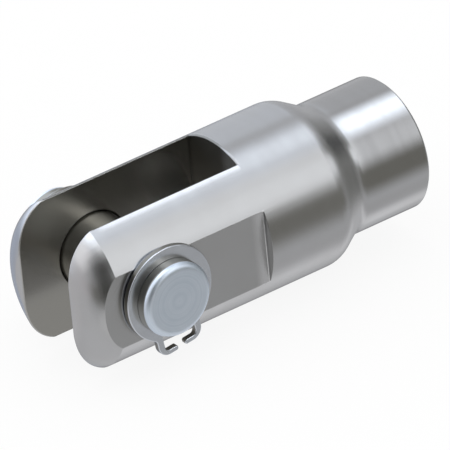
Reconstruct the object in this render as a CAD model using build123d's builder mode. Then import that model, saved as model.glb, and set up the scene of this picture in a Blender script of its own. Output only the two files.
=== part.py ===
from build123d import *
import os

os.makedirs("parts", exist_ok=True)

# Millimetres. The origin is the centre of the cross pin, midway between the two fork arms.
# +X runs along the rod towards the neck, Y runs along the pin and +Z is up.
# "Near" is the -Y side and "far" is the +Y side.

# turned outline of the body
body_radius = 10.0
neck_radius = 8.0
pin_to_tip = 10.0
pin_to_shoulder = 25.1
shoulder_length = 3.3
pin_to_neck_end = 38.0
tip_length = 3.6
tip_land = 1.1
tip_dome_radius = 5.3
shoulder_round = 3.3
shoulder_foot_round = 2.1
neck_end_chamfer = 0.3

# fork cut in the turned blank, with a slot a little wider than the rod bore and a flat
# outside each arm that ends level with the slot
slot_past_rod_bore = 0.35
pin_to_slot_floor = 14.2
slot_edge_break = 0.15
flat_depth = 1.1
flat_end_round = 0.2

# rod bore, drilled through the neck into the slot
rod_bore_radius = 4.25
rod_bore_mouth_radius = 5.2
rod_bore_floor_break = 0.2

# cross pin
pin_radius = 4.5
pin_running_fit = 0.05
pin_bore_edge_break = 0.2
groove_depth = 0.2
near_end_past_groove = 1.7
far_end_past_groove = 3.0
pin_end_round = 0.8

# ring sprung into each groove
ring_thickness = 0.8
ring_rim_radius = 5.8
ring_rim_offset = 0.25
ring_float = 0.15
groove_side_fit = 0.05
near_ring_turn = -7.4
far_ring_turn = -98.0

# hooked ends of the ring
hook_past_rim = 1.35
hook_arm = 0.6
hook_leg = 0.85
hook_leg_inside = 2.15
hook_gap = 1.0
hook_outer_round = 1.4
hook_inner_round = 0.5
hook_tip_round = 0.25
hook_root_round = 0.6

# places that follow from the sizes above
half_slot = rod_bore_radius + slot_past_rod_bore
tip_face_radius = half_slot + tip_land
pin_bore_radius = pin_radius + pin_running_fit
flat_seat = body_radius - flat_depth
ring_seat = flat_seat + ring_float
groove_radius = pin_radius - groove_depth
groove_inner = ring_seat - groove_side_fit
groove_outer = ring_seat + ring_thickness + groove_side_fit
pin_near_end = groove_outer + near_end_past_groove
pin_far_end = groove_outer + far_end_past_groove

# cutters stand this far clear of the metal, and edges are picked to this closeness
cut_margin = 2.0
pick_tolerance = 0.001

# The body is turned from one round bar: domed tip, straight barrel, tapered shoulder and neck.
tip_corner = Vector(-pin_to_tip, tip_face_radius)
barrel_corner = Vector(tip_length - pin_to_tip, body_radius)
shoulder_top = Vector(pin_to_shoulder, body_radius)
shoulder_foot = Vector(pin_to_shoulder + shoulder_length, neck_radius)
neck_corner = Vector(pin_to_neck_end, neck_radius)

# The slot is milled from the tip to a flat floor. A flat outside each arm seats a ring and
# ends in a small step up to the barrel.
slot_length = pin_to_slot_floor + pin_to_tip + cut_margin
slot_middle = pin_to_slot_floor - slot_length / 2
mouth_depth = rod_bore_mouth_radius - rod_bore_radius


def edges_on_slot_sides(body):
    """Edges that lie in either side of the slot, short of its floor."""
    in_side = lambda edge: abs(abs(edge.center().Y) - half_slot) < pick_tolerance
    before_floor = lambda edge: edge.center().X < pin_to_slot_floor - pick_tolerance
    return body.edges().filter_by(in_side).filter_by(before_floor)


with BuildPart() as clevis_body:
    with BuildSketch(Plane.XZ) as half_outline:
        with BuildLine():
            Line((-pin_to_tip, 0), tip_corner)
            RadiusArc(tip_corner, barrel_corner, tip_dome_radius)
            Polyline(barrel_corner, shoulder_top, shoulder_foot, neck_corner, (pin_to_neck_end, 0))
            Line((pin_to_neck_end, 0), (-pin_to_tip, 0))
        make_face()
        fillet(half_outline.vertices().sort_by_distance(shoulder_top)[0], shoulder_round)
        fillet(half_outline.vertices().sort_by_distance(shoulder_foot)[0], shoulder_foot_round)
        chamfer(half_outline.vertices().sort_by_distance(neck_corner)[0], neck_end_chamfer)
    revolve(axis=Axis.X)

    with BuildSketch(Plane.XY):
        with Locations((slot_middle, 0)):
            Rectangle(slot_length, 2 * half_slot)
    extrude(amount=body_radius, both=True, mode=Mode.SUBTRACT)
    floor_rims = clevis_body.edges().filter_by(GeomType.CIRCLE).filter_by(
        lambda edge: abs(edge.center().X - pin_to_slot_floor) < pick_tolerance
    )
    chamfer(edges_on_slot_sides(clevis_body) + floor_rims, slot_edge_break)

    with BuildSketch(Plane.XY) as flats:
        with Locations((slot_middle, -flat_seat - body_radius / 2)):
            Rectangle(slot_length, body_radius)
        flat_foot = flats.vertices().sort_by_distance((pin_to_slot_floor, -flat_seat))[0]
        fillet(flat_foot, flat_end_round)
        mirror(about=Plane.XZ)
    extrude(amount=body_radius, both=True, mode=Mode.SUBTRACT)

    with BuildSketch(Plane.XZ):
        Circle(pin_bore_radius)
    extrude(amount=body_radius, both=True, mode=Mode.SUBTRACT)
    chamfer(edges_on_slot_sides(clevis_body).filter_by(GeomType.CIRCLE), pin_bore_edge_break)

    with BuildSketch(Plane.XY):
        with BuildLine():
            Polyline(
                (pin_to_slot_floor - cut_margin, 0),
                (pin_to_slot_floor - cut_margin, rod_bore_radius),
                (pin_to_neck_end - mouth_depth, rod_bore_radius),
                (pin_to_neck_end, rod_bore_mouth_radius),
                (pin_to_neck_end + cut_margin, rod_bore_mouth_radius),
                (pin_to_neck_end + cut_margin, 0),
                close=True,
            )
        make_face()
    revolve(axis=Axis.X, mode=Mode.SUBTRACT)
    rod_bore_rims = clevis_body.edges().filter_by(GeomType.CIRCLE).filter_by(
        lambda edge: abs(edge.radius - rod_bore_radius) < pick_tolerance
    )
    chamfer(rod_bore_rims.sort_by(Axis.X)[0], rod_bore_floor_break)
clevis_body.part.label = "clevis_body"
export_step(clevis_body.part, "parts/clevis_body.step")

# The cross pin is a plain turned bar with rounded ends and a shallow groove for each ring.
with BuildPart() as cross_pin:
    with BuildSketch(Plane.XY) as pin_half:
        with BuildLine():
            Polyline(
                (0, -pin_near_end),
                (pin_radius, -pin_near_end),
                (pin_radius, -groove_outer),
                (groove_radius, -groove_outer),
                (groove_radius, -groove_inner),
                (pin_radius, -groove_inner),
                (pin_radius, groove_inner),
                (groove_radius, groove_inner),
                (groove_radius, groove_outer),
                (pin_radius, groove_outer),
                (pin_radius, pin_far_end),
                (0, pin_far_end),
                close=True,
            )
        make_face()
        fillet(pin_half.vertices().sort_by_distance((pin_radius, -pin_near_end))[0], pin_end_round)
        fillet(pin_half.vertices().sort_by_distance((pin_radius, pin_far_end))[0], pin_end_round)
    revolve(axis=Axis.Y)
cross_pin.part.label = "cross_pin"
export_step(cross_pin.part, "parts/cross_pin.step")

# The ring is a flat stamping. Its rim is set off centre, so that the band is widest opposite
# the gap and narrows towards two hooks that curl in over it.
leg_outside = hook_leg_inside + hook_leg
hook_reach = ring_rim_radius + hook_past_rim
arm_inside = hook_arm - hook_reach
hook_root = (leg_outside, ring_rim_offset - (ring_rim_radius**2 - leg_outside**2) ** 0.5)
with BuildPart() as ring_stamping:
    with BuildSketch(Plane.XZ) as ring_face:
        with Locations((0, ring_rim_offset)):
            Circle(ring_rim_radius)
        with Locations((0, -hook_reach / 2)):
            Rectangle(2 * hook_leg_inside, hook_reach, mode=Mode.SUBTRACT)
        with BuildLine():
            FilletPolyline(
                (hook_leg_inside, 0),
                (hook_leg_inside, arm_inside),
                (hook_gap / 2, arm_inside),
                (hook_gap / 2, -hook_reach),
                (leg_outside, -hook_reach),
                (leg_outside, 0),
                radius=(hook_inner_round, hook_tip_round, hook_tip_round, hook_outer_round),
            )
            Line((leg_outside, 0), (hook_leg_inside, 0))
        hook = make_face()
        mirror(hook, about=Plane.YZ)
        near_root = ring_face.vertices().sort_by_distance(hook_root)[0]
        far_root = ring_face.vertices().sort_by_distance((-hook_root[0], hook_root[1]))[0]
        fillet([near_root, far_root], hook_root_round)
        Circle(groove_radius, mode=Mode.SUBTRACT)
    extrude(amount=ring_thickness)

# The same ring is sprung into both grooves, each turned to its own angle about the pin.
ring_places = {
    "retaining_ring_near": (-ring_seat, near_ring_turn),
    "retaining_ring_far": (ring_seat + ring_thickness, far_ring_turn),
}
for ring_name, (outer_face, turn) in ring_places.items():
    with BuildPart() as ring:
        with Locations((0, outer_face, 0)):
            add(ring_stamping.part, rotation=(0, turn, 0))
    ring.part.label = ring_name
    export_step(ring.part, f"parts/{ring_name}.step")
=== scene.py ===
# %% [markdown]
# # The fork end of a tension rod
# A tension rod is a slim steel tie that screws into a fork, and a pin through the fork hangs
# it on a plate. This lesson dresses the fork, its pin and the pin's two sprung rings. The
# solids arrive already measured, so the first cell only loads them, keeps the box that they
# fill, and prints what is there. All lengths in Blender are metres, so MM turns the
# millimetres of a workshop drawing into them.

import math

import bpy
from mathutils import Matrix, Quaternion, Vector
from mathutils.bvhtree import BVHTree
from mathutils.geometry import barycentric_transform


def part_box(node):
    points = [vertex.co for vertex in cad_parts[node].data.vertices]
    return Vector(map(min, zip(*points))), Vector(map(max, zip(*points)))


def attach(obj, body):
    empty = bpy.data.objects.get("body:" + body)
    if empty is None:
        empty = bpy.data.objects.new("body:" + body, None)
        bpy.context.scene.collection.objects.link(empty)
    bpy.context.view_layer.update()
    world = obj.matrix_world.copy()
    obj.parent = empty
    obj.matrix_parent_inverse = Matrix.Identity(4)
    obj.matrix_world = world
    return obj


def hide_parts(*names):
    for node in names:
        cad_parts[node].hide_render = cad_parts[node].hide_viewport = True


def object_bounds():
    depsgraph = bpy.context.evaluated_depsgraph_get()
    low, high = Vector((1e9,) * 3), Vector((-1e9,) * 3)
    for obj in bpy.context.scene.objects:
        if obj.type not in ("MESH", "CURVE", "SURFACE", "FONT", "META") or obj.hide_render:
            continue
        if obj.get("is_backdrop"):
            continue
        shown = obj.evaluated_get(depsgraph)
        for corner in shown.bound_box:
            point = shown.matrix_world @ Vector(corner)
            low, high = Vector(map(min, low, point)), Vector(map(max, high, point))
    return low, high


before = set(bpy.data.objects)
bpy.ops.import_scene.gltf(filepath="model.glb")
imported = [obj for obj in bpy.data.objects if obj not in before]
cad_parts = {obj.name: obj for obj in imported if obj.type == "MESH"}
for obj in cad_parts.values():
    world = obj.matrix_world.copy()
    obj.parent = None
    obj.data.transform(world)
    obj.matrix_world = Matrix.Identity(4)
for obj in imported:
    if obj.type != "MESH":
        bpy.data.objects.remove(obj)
solid_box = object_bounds()
MM = 0.001

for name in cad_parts:
    low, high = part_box(name)
    print("solid", name, "is", [round(side / MM, 2) for side in high - low], "mm")

# %% [markdown]
# ## Where the camera stands
# Product pictures of small hardware are taken from far off with a long lens, so that parallel
# edges stay almost parallel. The camera is placed on a ball round the fork: first the swing
# round the upright axis, then the height above the floor, then a small tilt of the camera
# itself. A Track To constraint could aim it, but it would undo the tilt. Turning a tracking
# rotation about its own line of sight gives the tilt without moving what is in the middle of
# the picture.

# %% Camera
camera_swing = math.radians(-33.932)
camera_height = math.radians(30.003)
camera_tilt = math.radians(-5.811)
camera_distance = 1500 * MM
looked_at = Vector((14.890, 0.054, -1.271)) * MM
line_of_sight = Vector((0, 0, 1))
to_camera = Vector(
    (
        math.sin(camera_swing) * math.cos(camera_height),
        -math.cos(camera_swing) * math.cos(camera_height),
        math.sin(camera_height),
    )
)

long_lens = bpy.data.cameras.new("long_lens")
long_lens.sensor_width = 36
long_lens.lens = 1069.4
long_lens.clip_start = 0.01
long_lens.clip_end = 20
camera = bpy.data.objects.new("camera", long_lens)
bpy.context.scene.collection.objects.link(camera)
camera.rotation_mode = "QUATERNION"
camera.location = looked_at + to_camera * camera_distance
level_camera = (-to_camera).to_track_quat("-Z", "Y")
camera.rotation_quaternion = level_camera @ Quaternion(line_of_sight, camera_tilt)
bpy.context.scene.camera = camera
print("camera at", [round(place, 3) for place in camera.location], "m")

# %% [markdown]
# ## A closed skin for the fork
# The fork is one turned and milled piece of steel, and its solid arrives with the vertices
# split along every sharp edge, so that each face can keep its own exact normals. Cutting and
# bevelling need a closed skin instead. One helper joins the vertices that lie on one spot.
# The other does this to a copy of the solid's mesh, because the solid itself has to stay as
# it is. The fork is the first piece to be copied.

# %% Weld a copy of the fork
import bmesh

weld_gap = 0.0001 * MM


def count_open_edges(shell):
    """How many edges don't lie between exactly two faces."""
    return sum(not edge.is_manifold for edge in shell.edges)


def weld(mesh):
    """Joins the mesh's vertices that lie on one spot, so that its faces share their edges."""
    shell = bmesh.new()
    shell.from_mesh(mesh)
    bmesh.ops.remove_doubles(shell, verts=shell.verts, dist=weld_gap)
    open_edges = count_open_edges(shell)
    shell.to_mesh(mesh)
    shell.free()
    print(mesh.name, "has", len(mesh.vertices), "vertices and", open_edges, "open edges")


def welded_copy(node_name, piece_name):
    """A new object with the node's shape, its vertices joined into one closed skin."""
    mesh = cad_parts[node_name].data.copy()
    mesh.name = piece_name
    weld(mesh)
    piece = bpy.data.objects.new(piece_name, mesh)
    bpy.context.scene.collection.objects.link(piece)
    return piece


fork = welded_copy("clevis_body", "tapped_fork")

# %% [markdown]
# ## The ridge of the tap
# The neck is tapped for the rod's thread. A thread could be faked with a striped bump, but
# anyone who looks into the bore would see that its mouth is perfectly round. So a tap is
# built as a real helical solid, to be cut out of the neck. Its ridge has a narrow flat and
# two flanks at thirty degrees, and four corners are enough to draw it.

# %% Draw the ridge
thread_pitch = 1.5 * MM
thread_radius = 5.0 * MM
tap_core_radius = 4.15 * MM
ridge_flat = thread_pitch / 8
flank_slope = math.tan(math.radians(30))

ridge_half_foot = ridge_flat / 2 + (thread_radius - tap_core_radius) * flank_slope
ridge_profile = [
    (-ridge_half_foot, tap_core_radius),
    (-ridge_flat / 2, thread_radius),
    (ridge_flat / 2, thread_radius),
    (ridge_half_foot, tap_core_radius),
]
ridge_corners = len(ridge_profile)
last_corner = ridge_corners - 1
print("ridge is", round(2 * ridge_half_foot / MM, 3), "mm wide at its foot")

# %% [markdown]
# ## The rows of the tap
# The ridge climbs as it goes round. Each row of four points stands a little further along the
# bore than the last, so that a row meets the one a full turn later without a seam. A Screw
# modifier could sweep the same helix, but a real tap starts with a lead, a few turns that are
# ground down, and here the lead also keeps the cut out of the fork's arms. Placing the points
# by formula allows for it, because each point's radius can be limited by where it lies.

# %% Place the points
tap_start = 13.6 * MM
tap_turns = 17
steps_per_turn = 96
lead_start = 14.0 * MM
lead_radius = 4.3 * MM
lead_slope = 0.45
rows = tap_turns * steps_per_turn


def around_bore(x, radius, turn):
    """A point at a distance along the bore, a radius and a turn about its axis."""
    return Vector((x, radius * math.cos(turn), radius * math.sin(turn)))


def lead_limit(x):
    """The largest radius that the ground lead leaves on the tap at x."""
    return max(tap_core_radius, lead_radius + (x - lead_start) * lead_slope)


tap_points = []
for row in range(rows + 1):
    turn = 2 * math.pi * row / steps_per_turn
    row_middle = tap_start + thread_pitch * row / steps_per_turn
    for offset, radius in ridge_profile:
        along_bore = row_middle + offset
        tap_points.append(around_bore(along_bore, min(radius, lead_limit(along_bore)), turn))
print("tap has", rows + 1, "rows and", len(tap_points), "points")

# %% [markdown]
# ## The skin of the tap
# Three faces join each row to the next over the ridge. A fourth closes the valley: it joins
# the row's last corner to the first corner of the row one turn further on. Each end is a fan
# of triangles round a point on the axis. The cut only works if the skin has no open edge, so
# the cell counts them.

# %% Join the rows and close the ends
axis_point_gap = 1.0 * MM

tap_faces = []
for row in range(rows):
    here = ridge_corners * row
    ahead = here + ridge_corners
    for side in range(last_corner):
        tap_faces.append((here + side, here + side + 1, ahead + side + 1, ahead + side))
    if row < rows - steps_per_turn:
        next_turn = here + ridge_corners * steps_per_turn
        valley = (here + last_corner, next_turn, next_turn + ridge_corners, ahead + last_corner)
        tap_faces.append(valley)

first_rim = [ridge_corners * row for row in range(steps_per_turn + 1)]
first_rim += reversed(range(1, ridge_corners))
last_turn = range(rows - steps_per_turn, rows + 1)
last_rim = [ridge_corners * row + last_corner for row in last_turn]
last_rim += [ridge_corners * rows + corner for corner in reversed(range(last_corner))]
tap_end = tap_start + tap_turns * thread_pitch
first_centre = Vector((tap_start - ridge_half_foot - axis_point_gap, 0, 0))
last_centre = Vector((tap_end + ridge_half_foot + axis_point_gap, 0, 0))
for rim, centre in ((first_rim, first_centre), (last_rim, last_centre)):
    for here, ahead in zip(rim, rim[1:] + rim[:1]):
        tap_faces.append((here, ahead, len(tap_points)))
    tap_points.append(centre)

tap_mesh = bpy.data.meshes.new("tap")
tap_mesh.from_pydata(tap_points, [], tap_faces)
tap_shell = bmesh.new()
tap_shell.from_mesh(tap_mesh)
bmesh.ops.recalc_face_normals(tap_shell, faces=tap_shell.faces)
print("tap has", count_open_edges(tap_shell), "open edges")
print("tap fills", round(tap_shell.calc_volume() / MM**3, 1), "cubic mm")
tap_shell.to_mesh(tap_mesh)
tap_shell.free()
tap = bpy.data.objects.new("tap", tap_mesh)
bpy.context.scene.collection.objects.link(tap)

# %% [markdown]
# ## Tapping the fork
# On the bench the tap is turned into the drilled neck. Here a Boolean modifier takes it out
# of the fork. The fast solver is quicker, but the exact one copes better with the many thin
# faces that lie along a helix. Where the cut crosses an edge of the fork it leaves pairs of
# vertices on one spot, so the result is welded once more, and it has to come out closed.

# %% Cut the thread


def settle_modifiers(piece):
    """Turns what the modifiers make into the piece's own mesh."""
    depsgraph = bpy.context.evaluated_depsgraph_get()
    settled = bpy.data.meshes.new_from_object(piece.evaluated_get(depsgraph))
    unsettled = piece.data
    piece.modifiers.clear()
    piece.data = settled
    bpy.data.meshes.remove(unsettled)
    settled.name = piece.name
    return settled


cut = fork.modifiers.new("thread", "BOOLEAN")
cut.operation = "DIFFERENCE"
cut.solver = "EXACT"
cut.object = tap
fork_mesh = settle_modifiers(fork)
bpy.data.objects.remove(tap)
weld(fork_mesh)

# %% [markdown]
# ## How light meets the thread
# A cut leaves the skin without its exact normals, and plain smoothing would bend the light
# over the flats and the long barrel. In the thread the right normals follow from a formula.
# The crest and the core face straight to or from the axis, the lead leans by its slope, and a
# flank leans by its thirty degrees and by the climb of the helix. Of these, the one nearest
# to the face's own plain normal is taken.

# %% Normal of the thread


def thread_normal(point, face_normal):
    """The exact normal of the thread's flat, flank or lead that faces like face_normal."""
    from_axis = Vector((0, point.y, point.z))
    outward = from_axis.normalized()
    along = Vector((1, 0, 0))
    round_bore = along.cross(outward)
    climb = thread_pitch / (2 * math.pi * from_axis.length)
    choices = [outward, outward - along * lead_slope]
    for side in (-1, 1):
        choices.append(along - round_bore * climb + outward * side * flank_slope)
    choices = [choice.normalized() for choice in choices]
    best = max(choices, key=lambda choice: abs(choice.dot(face_normal)))
    return best if best.dot(face_normal) > 0 else -best


sample_normal = thread_normal(around_bore(0, thread_radius, 0), Vector((1, 1, 0)))
print("a flank at the far side of the bore faces", [round(part, 3) for part in sample_normal])

# %% [markdown]
# ## Giving the normals back
# Everywhere else the fork still lies on the old skin, whose corners know their exact normals.
# A tree of that skin's triangles finds the one under each face, and the normal at a corner is
# blended from the triangle's three. The Data Transfer modifier does something alike, but it
# can't tell the thread from the skin and would smear its nearest normals into the bore.

# %% Give the normals back
on_skin = 0.001 * MM


def return_normals(mesh, solid_mesh):
    """Gives every face corner of a cut mesh the normal that the exact shape has there."""
    places = [vertex.co for vertex in solid_mesh.vertices]
    triangles = [tuple(face.vertices) for face in solid_mesh.polygons]
    corner_normals = [Vector(corner.vector) for corner in solid_mesh.corner_normals]
    old_skin = BVHTree.FromPolygons(places, triangles)
    normals = [None] * len(mesh.loops)
    cut_faces = 0
    for face in mesh.polygons:
        _, _, hit, gap = old_skin.find_nearest(face.center)
        is_cut = gap > on_skin
        cut_faces += is_cut
        if not is_cut:
            corners = [places[index] for index in triangles[hit]]
            first = solid_mesh.polygons[hit].loop_start
            known = corner_normals[first : first + 3]
        for loop in face.loop_indices:
            place = mesh.vertices[mesh.loops[loop].vertex_index].co
            if is_cut:
                normals[loop] = thread_normal(place, face.normal)
            else:
                normals[loop] = barycentric_transform(place, *corners, *known).normalized()
    mesh.polygons.foreach_set("use_smooth", [True] * len(mesh.polygons))
    mesh.normals_split_custom_set(normals)
    print(cut_faces, "faces of", len(mesh.polygons), "belong to the thread")


return_normals(fork_mesh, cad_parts["clevis_body"].data)
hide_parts("clevis_body")
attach(fork, "clevis")

# %% [markdown]
# ## Rounding the rings
# The sprung rings are stamped from thin strip and then tumbled, so their edges are not
# sharp: the rim catches the light as a thin bright line. A Bevel node could fake that line,
# but in a close view the rim would still be a knife edge, so a small real bevel does it. The
# flat faces are first merged into one face each, because a bevel runs cleanly only along an
# outline, not across the triangles of a filled one. Hardened normals keep the stamped faces
# flat up to the start of the round. Both rings ride on the pin, which carries them round.

# %% Bevel the two rings
ring_edge_round = 0.13 * MM
ring_edge_steps = 3
coplanar_angle = math.radians(0.3)
corner_angle = math.radians(45)


def rounded_ring(node_name, piece_name):
    """A tumbled ring in place of a sharp-edged one."""
    ring = welded_copy(node_name, piece_name)
    shell = bmesh.new()
    shell.from_mesh(ring.data)
    bmesh.ops.dissolve_limit(
        shell, angle_limit=coplanar_angle, verts=shell.verts, edges=shell.edges
    )
    for edge in shell.edges:
        edge.smooth = edge.calc_face_angle() < corner_angle
    shell.to_mesh(ring.data)
    shell.free()
    bevel = ring.modifiers.new("tumbled edges", "BEVEL")
    bevel.width = ring_edge_round
    bevel.segments = ring_edge_steps
    bevel.limit_method = "ANGLE"
    bevel.angle_limit = corner_angle
    bevel.harden_normals = True
    mesh = settle_modifiers(ring)
    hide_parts(node_name)
    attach(ring, "pin")
    print(piece_name, "has", len(mesh.polygons), "faces")
    return ring


near_ring = rounded_ring("retaining_ring_near", "near_ring")
far_ring = rounded_ring("retaining_ring_far", "far_ring")

# %% [markdown]
# ## Helpers that put nodes down
# Every finish below is a small tree of shader nodes, and each node could be placed and linked
# by a few lines of its own. Helpers keep the cells short enough to read as a recipe. The
# first puts a node down and fills its inputs with numbers or with other sockets, the second
# does arithmetic, and the third mixes. The Mix node keeps its sockets for numbers, vectors
# and colours side by side, so a small table says which ones belong together.

# %% Node helpers
mix_sockets = {"FLOAT": (2, 3, 0), "VECTOR": (4, 5, 1), "RGBA": (6, 7, 2)}


def put(tree, kind, inputs=(), **settings):
    """Puts down a shader node with its settings, values and links."""
    made = tree.nodes.new("ShaderNode" + kind)
    for setting, value in settings.items():
        setattr(made, setting, value)
    for socket, value in dict(inputs).items():
        if isinstance(value, bpy.types.NodeSocket):
            tree.links.new(value, made.inputs[socket])
        else:
            made.inputs[socket].default_value = value
    return made


def maths(tree, operation, *values, clamp=False):
    """One Math node, given back as its output socket."""
    inputs = dict(enumerate(values))
    return put(tree, "Math", inputs, operation=operation, use_clamp=clamp).outputs[0]


def blend(tree, kind, share, first, second):
    """Mixes two numbers, vectors or colours by a share from 0 to 1."""
    first_socket, second_socket, result_socket = mix_sockets[kind]
    inputs = {0: share, first_socket: first, second_socket: second}
    return put(tree, "Mix", inputs, data_type=kind).outputs[result_socket]


print("the Mix node has sockets for", len(mix_sockets), "kinds of value")

# %% [markdown]
# ## Helpers for groups
# Tool marks, handling and wear show on more than one kind of steel. Copying their nodes into
# each material would work, but a node group is built once and placed wherever it is needed,
# each time with its own values. One helper opens a group with named inputs and outputs, and
# the other places it in a material.

# %% Group helpers
socket_kinds = {1: "NodeSocketFloat", 3: "NodeSocketVector", 4: "NodeSocketColor"}


def start_group(name, inputs, outputs):
    """A new node group, with its input and output ends."""
    tree = bpy.data.node_groups.new(name, "ShaderNodeTree")
    for label, value in inputs.items():
        kind = socket_kinds[len(value) if isinstance(value, tuple) else 1]
        socket = tree.interface.new_socket(label, in_out="INPUT", socket_type=kind)
        socket.default_value = value
    for label, size in outputs.items():
        tree.interface.new_socket(label, in_out="OUTPUT", socket_type=socket_kinds[size])
    return tree, tree.nodes.new("NodeGroupInput").outputs, tree.nodes.new("NodeGroupOutput")


def use_group(tree, group, inputs=()):
    """Places a node group in a material and fills its inputs."""
    return put(tree, "Group", inputs, node_tree=group).outputs


print("a group's socket can hold", " or ".join(map(str, socket_kinds)), "numbers")

# %% [markdown]
# ## Tool marks
# Turned steel carries fine rings where the tool passed, and milled steel fine straight lines.
# Both depend on one distance only: how far along its path the tool has come. So the group
# takes that distance in millimetres and feeds it to one-dimensional noise, which never
# repeats as an image would. The fine noise is the height of the marks, and a slower one says
# where the cut came out a little rougher.

# %% Group: tool marks
slow_pace = 0.17
fine_layers = 2.0
fine_layer_share = 0.6
slow_layers = 1.0
slow_layer_share = 0.5


def noise_along(tree, place, layers, layer_share):
    """Noise along a line, with finer layers that each add a share of the one before."""
    inputs = {"W": place, "Scale": 1.0, "Detail": layers, "Roughness": layer_share}
    return put(tree, "TexNoise", inputs, noise_dimensions="1D").outputs[0]


tool_marks, given, result = start_group(
    "tool marks",
    {"Path": 0.0, "Marks per mm": 4.0},
    {"Height": 1, "Roughening": 1},
)
fine_place = maths(tool_marks, "MULTIPLY", given["Path"], given["Marks per mm"])
fine = noise_along(tool_marks, fine_place, fine_layers, fine_layer_share)
slow_place = maths(tool_marks, "MULTIPLY", fine_place, slow_pace)
slow = noise_along(tool_marks, slow_place, slow_layers, slow_layer_share)
tool_marks.links.new(fine, result.inputs["Height"])
tool_marks.links.new(slow, result.inputs["Roughening"])
print("group", tool_marks.name, "has", len(tool_marks.nodes), "nodes")

# %% [markdown]
# ## Handling marks
# Steel that has been through a wash and a few hands is never equally clean. Fingerprints
# could be drawn, but at this size they only read as a soft unevenness. Cloudy
# three-dimensional noise, a few millimetres across, gives soft patches that a finish can use
# to shift its gloss and its tint a little.

# %% Group: handling marks
cloud_layers = 3.0
cloud_layer_share = 0.55
clean_below = 0.3
clouded_above = 0.7

handling, given, result = start_group(
    "handling marks",
    {"Place": (0.0, 0.0, 0.0), "Patches per mm": 0.2},
    {"Cloud": 1},
)
cloud_noise = put(
    handling,
    "TexNoise",
    {
        "Vector": given["Place"],
        "Scale": given["Patches per mm"],
        "Detail": cloud_layers,
        "Roughness": cloud_layer_share,
    },
).outputs[0]
cloud_range = put(
    handling,
    "MapRange",
    {"Value": cloud_noise, "From Min": clean_below, "From Max": clouded_above},
).outputs[0]
handling.links.new(cloud_range, result.inputs["Cloud"])
print("group", handling.name, "has", len(handling.nodes), "nodes")

# %% [markdown]
# ## Worn edges
# Edges rub first, and on bare steel a rubbed edge is brighter and smoother than the faces
# beside it. Geometry's Pointiness could find edges, but it depends on how dense the mesh is.
# The Bevel node gives the normal that the surface would have with rounded edges. Where that
# differs clearly from the true normal there is an edge close by, so one minus their dot
# product, less a small calm share, is a mask of edges. The mask also says where the rounded
# normal takes the place of the true one, so that plain faces stay perfectly calm.

# %% Group: worn edges
calm_share = 0.02
bevel_samples = 4

worn_edges, given, result = start_group(
    "worn edges",
    {"Reach": 0.1 * MM, "Strength": 4.0},
    {"Edge": 1, "Rounded Normal": 3},
)
rounded_normal = put(
    worn_edges, "Bevel", {"Radius": given["Reach"]}, samples=bevel_samples
).outputs[0]
true_normal = put(worn_edges, "NewGeometry").outputs["Normal"]
agreement = put(
    worn_edges,
    "VectorMath",
    {0: rounded_normal, 1: true_normal},
    operation="DOT_PRODUCT",
).outputs["Value"]
difference = maths(worn_edges, "SUBTRACT", 1.0 - calm_share, agreement)
edge_mask = maths(worn_edges, "MULTIPLY", difference, given["Strength"], clamp=True)
near_edge = maths(worn_edges, "GREATER_THAN", difference, 0.0)
edge_normal = blend(worn_edges, "VECTOR", near_edge, true_normal, rounded_normal)
worn_edges.links.new(edge_mask, result.inputs["Edge"])
worn_edges.links.new(edge_normal, result.inputs["Rounded Normal"])
print("group", worn_edges.name, "has", len(worn_edges.nodes), "nodes")

# %% [markdown]
# ## A start for each finish
# The three finishes share their first steps: a metallic shader, and the place on the piece in
# millimetres. World coordinates would be simpler, but then the marks would slide over the pin
# as it turns, so the place is taken from the piece's own coordinates.

# %% Start a finish
metre_to_mm = 1 / MM


def start_finish(name):
    """A new metal material: its tree, its shader, and the place in mm, also as x, y, z."""
    finish = bpy.data.materials.new(name)
    finish.use_nodes = True
    tree = finish.node_tree
    shader = tree.nodes["Principled BSDF"]
    shader.inputs["Metallic"].default_value = 1.0
    own_place = put(tree, "TexCoord").outputs["Object"]
    in_mm = {0: own_place, "Scale": metre_to_mm}
    place = put(tree, "VectorMath", in_mm, operation="SCALE").outputs[0]
    x, y, z = put(tree, "SeparateXYZ", {0: place}).outputs
    return finish, tree, shader, place, x, y, z


print("finishes measure in mm:", metre_to_mm, "to the metre")

# %% [markdown]
# ## Body steel: the marks
# The fork is turned from bright bar and lightly polished, and its slot is milled. A brushed
# metal image could be wrapped round it, but it would stretch over the nose and the shoulder.
# Adding the distance from the axis to the distance along it gives one path that climbs
# steadily over nose, barrel, shoulder and end face, so the turned marks ring them all. The
# mill's lines run straight along the arms, so their path is simply the height.

# %% Body steel: place the groups


def distance_from_axis(tree, first, second):
    """How far a point is from an axis, from its two offsets across that axis."""
    first_squared = maths(tree, "MULTIPLY", first, first)
    second_squared = maths(tree, "MULTIPLY", second, second)
    return maths(tree, "SQRT", maths(tree, "ADD", first_squared, second_squared))


body_steel, tree, shader, place, x, y, z = start_finish("turned_body_steel")
from_axis = distance_from_axis(tree, y, z)
turned_path = maths(tree, "ADD", x, from_axis)
turned = use_group(tree, tool_marks, {"Path": turned_path, "Marks per mm": 5.0})
milled = use_group(tree, tool_marks, {"Path": z, "Marks per mm": 3.0})
cloud = use_group(tree, handling, {"Place": place, "Patches per mm": 0.18})["Cloud"]
edges = use_group(tree, worn_edges, {"Reach": 0.12 * MM, "Strength": 4.0})
print("body steel starts with", len(tree.nodes), "nodes")

# %% [markdown]
# ## Helpers for masks
# A mask is a number over the surface that is 1 where something holds and 0 where it doesn't.
# Painting masks by hand would need an image, but on a turned and milled part almost every
# border is a plain distance, so a few sums find it. These helpers say that several masks hold
# at once, that one doesn't, and that a value has passed a soft border.

# %% Mask helpers


def all_of(tree, first, *others):
    """1 only where every one of the masks is 1."""
    for other in others:
        first = maths(tree, "MULTIPLY", first, other)
    return first


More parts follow.
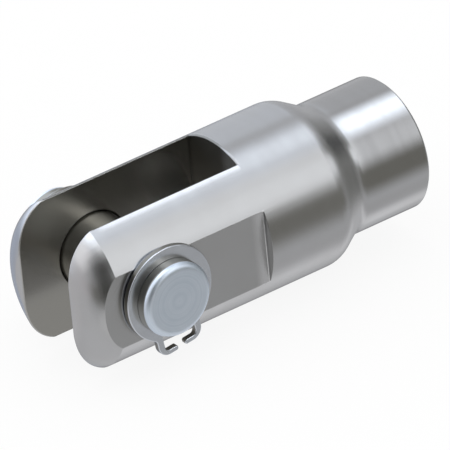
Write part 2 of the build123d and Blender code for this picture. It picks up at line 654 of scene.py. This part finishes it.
def outside(tree, mask):
    """1 where the mask is 0, and the other way round."""
    return maths(tree, "SUBTRACT", 1.0, mask)


def step_up(tree, value, start, end):
    """0 before start, 1 past end, and smooth between."""
    inputs = {"Value": value, "From Min": start, "From Max": end}
    return put(tree, "MapRange", inputs, interpolation_type="SMOOTHSTEP").outputs[0]


print("masks are joined by", all_of.__name__, "and turned round by", outside.__name__)

# %% [markdown]
# ## Body steel: the slot
# The slot is duller than the barrel, and its milled steel is painted a little darker as the
# shade between the arms. The slot's end face and the small breaks along its rims are painted
# dark as shade.
# Separate materials on separate faces could show this, but then each border would have to
# follow the mesh. Masks from the place on the fork need no faces of their own. All borders
# are millimetres, along the rod from the pin's axis or sideways from the slot's middle.

# %% Body steel: find the slot and its rims
slot_side = 4.65
slot_break_start = 4.61
slot_rim = 4.77
slot_floor = 14.2
floor_rim_reach = 0.17
rim_shade_start = -3.2
rim_shade_full = -1.0
tip_end = -6.0

from_middle = maths(tree, "ABSOLUTE", y)
between_arms = maths(tree, "LESS_THAN", from_middle, slot_side)
between_rims = maths(tree, "LESS_THAN", from_middle, slot_rim)
short_of_floor = maths(tree, "LESS_THAN", x, slot_floor)
in_slot = all_of(tree, between_arms, short_of_floor)

# painted shade on the slot's end face and rims; on the end it fades out towards the front arm
near_floor = maths(tree, "COMPARE", x, slot_floor, floor_rim_reach)
rim_shade_part = step_up(tree, y, rim_shade_start, rim_shade_full)
floor_rim = all_of(tree, near_floor, between_rims, rim_shade_part)
beside_break = maths(tree, "GREATER_THAN", from_middle, slot_break_start)
behind_tip = maths(tree, "GREATER_THAN", x, tip_end)
arm_rim = all_of(tree, behind_tip, short_of_floor, beside_break, between_rims)
shaded_slot_rims = maths(tree, "MAXIMUM", floor_rim, arm_rim)
print("slot reaches", slot_side, "mm to each side and", slot_floor, "mm past the pin")

# %% [markdown]
# ## Body steel: wear and a painted highlight
# The edges are rubbed bright, but not in the rims painted with shade. Along the slot the front
# arm also gets a painted highlight, a band of lighter colour beside the rim where its rounded
# edge catches the top light. It is far wider than an edge mask, so it gets a mask of its own:
# it starts at the rim, fades over the width of the band, and dies away towards the tip.

# %% Body steel: find the worn edges and the painted highlight
highlight_band_width = 0.7
highlight_run_in = 2.0

worn = all_of(tree, edges["Edge"], outside(tree, shaded_slot_rims))
towards_front = maths(tree, "MULTIPLY", y, -1.0)
past_front_rim = maths(tree, "GREATER_THAN", towards_front, slot_rim)
past_highlight_band = step_up(tree, towards_front, slot_rim, slot_rim + highlight_band_width)
past_tip = step_up(tree, x, tip_end, tip_end + highlight_run_in)
on_arm = all_of(tree, short_of_floor, past_tip)
# painted highlight: a band of lighter colour beside the front arm's rim
painted_rim_highlight = all_of(tree, past_front_rim, outside(tree, past_highlight_band), on_arm)
wear_and_rim_highlight = maths(tree, "MAXIMUM", worn, painted_rim_highlight)
print("filed band is", highlight_band_width, "mm wide")

# %% [markdown]
# ## Body steel: the ends of the flats
# The mill that cuts the flat outside each arm stops at a small step. The step is real in the
# mesh. What it needs here is a painted highlight, a lighter colour that comes on slowly along
# the last stretch of the flat where the step is mirrored, and painted shade, a darker colour
# on the step's rounded foot and its upright face.

# %% Body steel: find the ends of the flats
flat_seat = 8.9
flat_reach = 0.03
end_highlight_start = 12.2
end_highlight_full = 13.6
step_middle = 14.05
step_reach = 0.17
foot_top = 9.05
foot_end = 9.2

from_seat = maths(tree, "SUBTRACT", from_middle, flat_seat)
on_flat = maths(tree, "LESS_THAN", maths(tree, "ABSOLUTE", from_seat), flat_reach)
near_flat_end = step_up(tree, x, end_highlight_start, end_highlight_full)
# painted highlight: lighter colour on the last stretch of each flat, where the step is mirrored
painted_end_highlight = all_of(tree, short_of_floor, on_flat, near_flat_end)
at_step = maths(tree, "COMPARE", x, step_middle, step_reach)
above_flat = maths(tree, "GREATER_THAN", from_middle, flat_seat + flat_reach)
flat_step = all_of(tree, at_step, above_flat)
past_foot = step_up(tree, from_middle, foot_top, foot_end)
print("painted_end_sheen comes on over the last", round(slot_floor - end_highlight_start, 2), "mm of a flat")

# %% [markdown]
# ## Body steel: the neck and the bore
# The neck is turned last, with a finer cut, so it is the smoothest place on the fork. The
# small chamfer at its end faces away from the lights, and its colour is painted dark as that
# shade. The tapped bore is the dullest place of all. The bore could have had a material of
# its own, since the cut gave it its own
# faces, but a mask by radius keeps one finish for the whole fork.

# %% Body steel: find the neck and the bore
neck_start = 28.0
neck_full = 30.2
end_chamfer_start = 37.7
bore_start = 14.45
bore_skin = 5.3

on_neck = step_up(tree, x, neck_start, neck_full)
past_floor = maths(tree, "GREATER_THAN", x, bore_start)
inside_bore = maths(tree, "LESS_THAN", from_axis, bore_skin)
in_bore = all_of(tree, past_floor, inside_bore)
at_neck_end = maths(tree, "GREATER_THAN", x, end_chamfer_start)
around_mouth = maths(tree, "GREATER_THAN", from_axis, bore_skin)
neck_rim = all_of(tree, at_neck_end, around_mouth)
print("with its masks the body steel has", len(tree.nodes), "nodes")

# %% [markdown]
# ## Body steel: how dull each place is
# Roughness is what tells a polished place from a milled one on bare metal. The barrel is the
# start, and the neck, the slot and the bore are laid over it in turn, each by its own mask.
# The marks, the clouds and the wear then shift the result by a few hundredths, enough to
# break up a reflection without drawing a pattern. The other finishes use the same helper.

# %% Body steel: roughness
barrel_roughness = 0.25
neck_roughness = 0.13
milled_roughness = 0.235
thread_roughness = 0.42
noise_middle = 0.5


def either_way(tree, value, share):
    """Moves a value from between 0 and 1 to about 0, and scales it down to a share."""
    return maths(tree, "MULTIPLY", maths(tree, "SUBTRACT", value, noise_middle), share)


def marked_roughness(tree, base, marks, cloud, edge, mark_share, cloud_share, edge_share):
    """Base roughness, shifted by the tool's marks, the handling clouds and the edges."""
    marked = maths(tree, "ADD", base, either_way(tree, marks, mark_share))
    clouded = maths(tree, "ADD", marked, either_way(tree, cloud, cloud_share))
    smoothed = maths(tree, "MULTIPLY", edge, -edge_share)
    return maths(tree, "ADD", clouded, smoothed, clamp=True)


outer_roughness = blend(tree, "FLOAT", on_neck, barrel_roughness, neck_roughness)
slotted_roughness = blend(tree, "FLOAT", in_slot, outer_roughness, milled_roughness)
base_roughness = blend(tree, "FLOAT", in_bore, slotted_roughness, thread_roughness)
roughness = marked_roughness(
    tree,
    base_roughness,
    turned["Roughening"],
    cloud,
    wear_and_rim_highlight,
    mark_share=0.03,
    cloud_share=0.02,
    edge_share=0.05,
)
tree.links.new(roughness, shader.inputs["Roughness"])
print("roughness runs from", neck_roughness, "on the neck to", thread_roughness, "in the bore")

# %% [markdown]
# ## Body steel: its colour
# Bare steel is a slightly cool grey and worn edges are lighter. Lighter colour also paints
# highlights beside the front arm's rim and at the ends of the flats, and darker colour paints
# shade in the slot, on its end face and rims, on the flats' steps and on the neck's chamfer.
# The colours are laid over each other as a painter would do it, from the large and faint to
# the small and strong, and a list of masks and colours keeps that order easy to see.

# %% Body steel: colour
body_colour = (0.525, 0.528, 0.532, 1.0)
body_cloud_colour = (0.505, 0.505, 0.505, 1.0)
# milled steel, also painted a little darker as the shade between the arms
milled_and_shaded_colour = (0.47, 0.46, 0.43, 1.0)
thread_colour = (0.64, 0.635, 0.61, 1.0)
# worn edges, and also the painted highlight at the end of each flat
worn_edge_and_highlight_colour = (0.70, 0.70, 0.71, 1.0)
# painted highlight beside the front arm's rim
rim_highlight_colour = (0.65, 0.65, 0.66, 1.0)
# painted shade on the rounded foot and the upright face of each flat's step
foot_shade_colour = (0.24, 0.24, 0.24, 1.0)
step_shade_colour = (0.31, 0.31, 0.305, 1.0)
# painted shade on the chamfer at the neck's end
neck_rim_shade_colour = (0.26, 0.26, 0.26, 1.0)
# painted shade on the slot's end face and the small breaks along its rims
slot_rim_shade_colour = (0.22, 0.215, 0.20, 1.0)

# painted shade, darker on the step's foot than on its face
foot_or_step_shade = blend(tree, "RGBA", past_foot, foot_shade_colour, step_shade_colour)
body_layers = [
    (cloud, body_cloud_colour),
    (in_slot, milled_and_shaded_colour),
    (in_bore, thread_colour),
    (wear_and_rim_highlight, worn_edge_and_highlight_colour),
    (painted_rim_highlight, rim_highlight_colour),
    (painted_end_highlight, worn_edge_and_highlight_colour),
    (flat_step, foot_or_step_shade),
    (neck_rim, neck_rim_shade_colour),
    (shaded_slot_rims, slot_rim_shade_colour),
]
layered_colour = body_colour
for mask, layer_colour in body_layers:
    layered_colour = blend(tree, "RGBA", mask, layered_colour, layer_colour)
tree.links.new(layered_colour, shader.inputs["Base Color"])
print("body steel is laid up in", len(body_layers), "layers of colour")

# %% [markdown]
# ## Body steel: its grain
# Tool marks are far too fine to be cut into the mesh, so a Bump node tilts the normals by
# their height, starting from the rounded normal of the worn edges. Fine rings round a bar
# also scatter light along it but not round it. That is what Anisotropic does: the tangent
# runs round the rod, and a quarter turn stretches the highlights along it.

# %% Body steel: grain
body_mark_depth = 0.0004 * MM
highlight_stretch = 0.7
quarter_turn = 0.25


def add_grain(tree, shader, height, depth, start_normal=None):
    """Tilts the shader's normals by the height of the marks."""
    inputs = {"Strength": 1.0, "Distance": depth, "Height": height}
    if start_normal is not None:
        inputs["Normal"] = start_normal
    bumped = put(tree, "Bump", inputs).outputs[0]
    tree.links.new(bumped, shader.inputs["Normal"])


mark_height = blend(tree, "FLOAT", in_slot, turned["Height"], milled["Height"])
add_grain(tree, shader, mark_height, body_mark_depth, edges["Rounded Normal"])
round_rod = put(tree, "Tangent", direction_type="RADIAL", axis="X").outputs[0]
tree.links.new(round_rod, shader.inputs["Tangent"])
shader.inputs["Anisotropic"].default_value = highlight_stretch
shader.inputs["Anisotropic Rotation"].default_value = quarter_turn
fork.data.materials.clear()
fork.data.materials.append(body_steel)
print("body steel uses", len(tree.nodes), "nodes")

# %% [markdown]
# ## Pin steel: the plating
# The ends of the pin are zinc plated, and its side is a dark, warm grey. The pin is one solid
# with one material slot, so a mask by
# the place along the pin tells the two apart. The tool's path is the distance from the pin's
# axis plus the distance along it, as on the fork.

# %% Pin steel: place the groups and find the plating
front_round_start = 10.96
far_round_start = 12.1
plating_fade = 0.08

pin_steel, tree, shader, place, x, y, z = start_finish("plated_pin_steel")
from_pin_axis = distance_from_axis(tree, x, z)
faced_path = maths(tree, "ADD", y, from_pin_axis)
faced = use_group(tree, tool_marks, {"Path": faced_path, "Marks per mm": 2.0})
cloud = use_group(tree, handling, {"Place": place, "Patches per mm": 0.3})["Cloud"]
edges = use_group(tree, worn_edges, {"Reach": 0.08 * MM, "Strength": 4.0})


def past_round(tree, offset, round_start):
    """1 on a rounded end of the pin, 0 on its ground side."""
    return step_up(tree, offset, round_start - plating_fade, round_start + plating_fade)


towards_front = maths(tree, "MULTIPLY", y, -1.0)
past_front_round = past_round(tree, towards_front, front_round_start)
past_far_round = past_round(tree, y, far_round_start)
plated = maths(tree, "ADD", past_front_round, past_far_round, clamp=True)
print("plating starts", front_round_start, "and", far_round_start, "mm from the middle")

# %% [markdown]
# ## Pin steel: its look
# Zinc is bluer, paler and softer than bare steel. The ends were faced on a lathe, and the
# faint rings of that cut still show through the plating. Bump alone would lose them under a
# soft light, so they also tint the colour. The handling clouds share the tint with them.

# %% Pin steel: roughness, colour and grain
plated_colour = (0.785, 0.855, 0.94, 1.0)
plated_cloud_colour = (0.69, 0.77, 0.86, 1.0)
plated_edge_colour = (0.84, 0.90, 0.97, 1.0)
# the pin's side: a dark, warm grey
dark_side_colour = (0.32, 0.31, 0.28, 1.0)
plated_roughness = 0.42
side_roughness = 0.31
ring_share = 0.5
ring_low = 0.35
ring_high = 0.65
pin_mark_depth = 0.004 * MM

roughness = marked_roughness(
    tree,
    blend(tree, "FLOAT", plated, side_roughness, plated_roughness),
    faced["Roughening"],
    cloud,
    edges["Edge"],
    mark_share=0.04,
    cloud_share=0.02,
    edge_share=0.0,
)
tree.links.new(roughness, shader.inputs["Roughness"])
faced_rings = step_up(tree, faced["Height"], ring_low, ring_high)
dulled = blend(tree, "FLOAT", ring_share, cloud, faced_rings)
clouded_colour = blend(tree, "RGBA", dulled, plated_colour, plated_cloud_colour)
worn_colour = blend(tree, "RGBA", edges["Edge"], clouded_colour, plated_edge_colour)
end_or_side = blend(tree, "RGBA", plated, dark_side_colour, worn_colour)
tree.links.new(end_or_side, shader.inputs["Base Color"])
add_grain(tree, shader, faced["Height"], pin_mark_depth, edges["Rounded Normal"])
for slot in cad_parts["cross_pin"].material_slots:
    slot.material = pin_steel
print("pin steel uses", len(tree.nodes), "nodes")

# %% [markdown]
# ## Spring steel
# The rings are hardened strip, rolled smooth before stamping and plated after it. They are
# the glossiest pieces here, and the dark side of the pin can be seen in their faces. The
# strip was rolled in one direction, so its faint marks run straight across the stamping. The
# sheared edge between the faces is rough, and its colour is painted dark, which also paints
# the shade beside each ring. A second material on its faces would end
# in the middle of the bevel, so a mask from the distance to the middle of the strip fades it.

# %% Spring steel
spring_colour = (0.70, 0.73, 0.78, 1.0)
spring_cloud_colour = (0.655, 0.68, 0.725, 1.0)
spring_edge_colour = (0.88, 0.89, 0.91, 1.0)
# rough sheared edge, painted dark, which also paints the shade beside each ring
sheared_and_shaded_colour = (0.22, 0.21, 0.185, 1.0)
spring_roughness = 0.23
sheared_roughness = 0.31
strip_middle = 9.45
strip_half_face = 0.25
strip_half_edge = 0.32
spring_mark_depth = 0.001 * MM

spring_steel, tree, shader, place, x, y, z = start_finish("sprung_ring_steel")
rolled = use_group(tree, tool_marks, {"Path": x, "Marks per mm": 3.5})
cloud = use_group(tree, handling, {"Place": place, "Patches per mm": 0.4})["Cloud"]
edges = use_group(tree, worn_edges, {"Reach": 0.05 * MM, "Strength": 3.0})
from_strip = maths(tree, "SUBTRACT", maths(tree, "ABSOLUTE", y), strip_middle)
off_middle = maths(tree, "ABSOLUTE", from_strip)
on_face = step_up(tree, off_middle, strip_half_face, strip_half_edge)
roughness = marked_roughness(
    tree,
    blend(tree, "FLOAT", on_face, sheared_roughness, spring_roughness),
    rolled["Roughening"],
    cloud,
    edges["Edge"],
    mark_share=0.03,
    cloud_share=0.03,
    edge_share=0.03,
)
tree.links.new(roughness, shader.inputs["Roughness"])
clouded_colour = blend(tree, "RGBA", cloud, spring_colour, spring_cloud_colour)
worn_colour = blend(tree, "RGBA", edges["Edge"], clouded_colour, spring_edge_colour)
face_or_edge = blend(tree, "RGBA", on_face, sheared_and_shaded_colour, worn_colour)
tree.links.new(face_or_edge, shader.inputs["Base Color"])
add_grain(tree, shader, rolled["Height"], spring_mark_depth)
for ring in (near_ring, far_ring):
    ring.data.materials.clear()
    ring.data.materials.append(spring_steel)
print("spring steel uses", len(tree.nodes), "nodes")

# %% [markdown]
# ## The floor
# The fork lies on a plain pale table. A camera that sees a lit white table sees white, and
# the fork's soft shadow on it. Part of the white is given off by the table itself, so that
# the shadow stays faint. What the steel mirrors is the studio of the next cells, which is
# why the table is kept out of the reflections.

# %% Floor
floor_reach = 3.0
floor_glow = 0.88
floor_height = solid_box[0].z
floor_turns = ((-1, -1), (1, -1), (1, 1), (-1, 1))

floor_corners = [(floor_reach * a, floor_reach * b, floor_height) for a, b in floor_turns]
floor_mesh = bpy.data.meshes.new("floor")
floor_mesh.from_pydata(floor_corners, [], [(0, 1, 2, 3)])
floor = bpy.data.objects.new("floor", floor_mesh)
bpy.context.scene.collection.objects.link(floor)
floor.visible_glossy = False

pale_table = bpy.data.materials.new("pale_table")
pale_table.use_nodes = True
tree = pale_table.node_tree
tree.nodes.clear()
white = (1.0, 1.0, 1.0, 1.0)
lit_share = 1 - floor_glow
glow = put(tree, "Emission", {"Color": white, "Strength": floor_glow})
lit = put(tree, "BsdfDiffuse", {"Color": (lit_share, lit_share, lit_share, 1.0)})
both = put(tree, "AddShader", {0: glow.outputs[0], 1: lit.outputs[0]})
put(tree, "OutputMaterial", {"Surface": both.outputs[0]})
floor_mesh.materials.append(pale_table)
floor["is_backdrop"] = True
print("floor at", round(floor_height / MM, 2), "mm")

# %% [markdown]
# ## The studio that the steel mirrors
# Bare metal has no look of its own: it shows its surroundings. A photographer therefore
# builds the surroundings, with white cards and lit panels where a surface should be bright
# and open gaps where it should be dark. Area lamps and real cards could stand round the fork,
# but the world can hold them all at no cost. A direction is split into two numbers: how far
# round the rod's axis it points, in degrees from straight in front over the top, and how far
# along the axis. Each card is a soft-edged window in those two.

# %% Group: one card of the studio


def soft_window(tree, value, low, high, softness):
    """1 between low and high, 0 outside, with a smooth change at each end."""
    half = maths(tree, "MULTIPLY", softness, 0.5)
    rise_start = maths(tree, "SUBTRACT", low, half)
    rise_end = maths(tree, "ADD", low, half)
    fall_start = maths(tree, "SUBTRACT", high, half)
    fall_end = maths(tree, "ADD", high, half)
    rise = step_up(tree, value, rise_start, rise_end)
    fall = step_up(tree, value, fall_start, fall_end)
    return all_of(tree, rise, outside(tree, fall))


card_shape, given, result = start_group(
    "studio card",
    {
        "Round": 0.0,
        "Along": 0.0,
        "Round from": 0.0,
        "Round to": 10.0,
        "Round softness": 10.0,
        "Along from": -2.0,
        "Along to": 2.0,
        "Along softness": 0.1,
    },
    {"Mask": 1},
)
windows = []
for way in ("Round", "Along"):
    reach = [given[way + part] for part in (" from", " to", " softness")]
    windows.append(soft_window(card_shape, given[way], *reach))
card_shape.links.new(all_of(card_shape, *windows), result.inputs["Mask"])
print("group", card_shape.name, "has", len(card_shape.nodes), "nodes")

# %% [markdown]
# ## The list of cards
# Each card has where it starts and ends round the rod and how soft its ends are, the same
# along the rod, and its colour, which is brighter than 1 for a lit panel. The lit panels lie
# along the rod above it and in front of it, the gap below the front panel is open to the dark
# room, and the small dark patch is where the camera itself stands.

# %% The cards
full_along = (-2.0, 2.0, 0.1)

studio_cards = {
    "table in front": ((-72, -53, 18), full_along, (0.55, 0.55, 0.56)),
    "table under the rod": ((-105, -80, 20), full_along, (0.90, 0.90, 0.92)),
    "table under the tip": ((-115, -69, 21), (-2.0, 0.39, 0.3), (0.67, 0.67, 0.68)),
    "foot of the wall behind": ((-200, -168, 16), (-2.0, 0.415, 0.12), (1.45, 1.60, 1.88)),
    "table left of the tip": ((-172, -123, 20), (-0.95, -0.33, 0.12), (0.71, 0.70, 0.71)),
    "table behind the tip": ((-172, -123, 20), (-0.28, 0.25, 0.16), (0.50, 0.55, 0.66)),
    "dark edge of the table": ((-166, -123, 16), (0.27, 0.60, 0.15), (0.31, 0.31, 0.32)),
    "wall behind": ((121, 200, 16), (-2.0, 0.415, 0.12), (1.45, 1.56, 1.74)),
    "gap in front": ((-33, 15, 31), (-2.0, 0.80, 0.12), (0.225, 0.22, 0.20)),
    "dim wall left of the gap": ((-65, 11, 34), (-0.75, 0.11, 0.2), (0.76, 0.76, 0.76)),
    "front panel": ((14, 68, 26), (-0.31, 0.44, 0.06), (2.12, 2.15, 2.19)),
    "gap in the front panel": ((30, 58, 16), (-0.08, 0.18, 0.14), (0.08, 0.08, 0.08)),
    "front panel's right end": ((23, 53, 22), (0.57, 1.2, 0.2), (1.29, 1.32, 1.36)),
    "top panel": ((69, 106, 28), (-0.44, 0.59, 0.1), (2.32, 2.46, 2.68)),
    "top panel's left end": ((53, 105, 29), (-0.97, -0.51, 0.1), (1.34, 1.33, 1.36)),
    "shade in the top panel": ((66, 110, 16), (0.17, 0.43, 0.1), (0.05, 0.05, 0.055)),
    "dark wall at the right": ((56, 84, 16), (0.66, 2.0, 0.12), (0.27, 0.27, 0.26)),
    "camera": ((-20, 57, 36), (-0.82, -0.02, 0.28), (0.04, 0.04, 0.035)),
    "right end": ((-200, 200, 10), (0.86, 2.0, 0.2), (0.26, 0.26, 0.25)),
    "dark doorway at the right": ((95, 230, 40), (0.94, 2.0, 0.06), (0.06, 0.06, 0.06)),
    "left end": ((-200, 200, 10), (-2.0, -0.96, 0.06), (0.71, 0.69, 0.71)),
}
print("studio has", len(studio_cards), "cards and gaps")

# %% [markdown]
# ## Hanging the cards
# The cards are laid over the plain grey room one after another. Light Path then says who is
# looking: the steel's reflections see the studio, the camera sees a plain white backdrop, and
# everything that isn't steel is lit by an even white sky. Cycles can aim extra rays at the
# bright parts of a world, but this one differs from one kind of ray to another, so the aiming
# is switched off.

# %% World
room_colour = (0.58, 0.585, 0.60, 1.0)

world = bpy.data.worlds.new("studio")
bpy.context.scene.world = world
world.use_nodes = True
world.cycles.sampling_method = "NONE"
tree = world.node_tree
tree.nodes.clear()
direction = put(tree, "TexCoord").outputs["Generated"]
along, across, up = put(tree, "SeparateXYZ", {0: direction}).outputs
towards_front = maths(tree, "MULTIPLY", across, -1.0)
round_rod = maths(tree, "DEGREES", maths(tree, "ARCTAN2", up, towards_front))

studio = room_colour
for round_reach, along_reach, colour in studio_cards.values():
    card = {"Round": round_rod, "Along": along}
    for way, reach in (("Round", round_reach), ("Along", along_reach)):
        for part, value in zip((" from", " to", " softness"), reach):
            card[way + part] = value
    mask = use_group(tree, card_shape, card)["Mask"]
    studio = blend(tree, "RGBA", mask, studio, (*colour, 1.0))

ray = put(tree, "LightPath").outputs
for_steel = blend(tree, "RGBA", ray["Is Glossy Ray"], white, studio)
for_camera = blend(tree, "RGBA", ray["Is Camera Ray"], for_steel, white)
background = put(tree, "Background", {"Color": for_camera, "Strength": 1.0})
put(tree, "OutputWorld", {"Surface": background.outputs[0]})
print("world uses", len(tree.nodes), "nodes")

# %% [markdown]
# ## How colours are shown
# The Standard view shows a colour as it is written. A film look would soften the highlights,
# but it would also shift the colour of every finish, so none is laid over the picture.

# %% View
bpy.context.scene.view_settings.view_transform = "Standard"
print("view is", bpy.context.scene.view_settings.view_transform)

# %% [markdown]
# ## Measure and finish
# The dressed fork has to fill the same box as the solids, so both boxes are printed.

# %% Write the sizes
dressed_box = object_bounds()
for label, box in (("solid", solid_box), ("dressed", dressed_box)):
    print(label, "box", [round(side / MM, 3) for side in box[1] - box[0]], "mm")
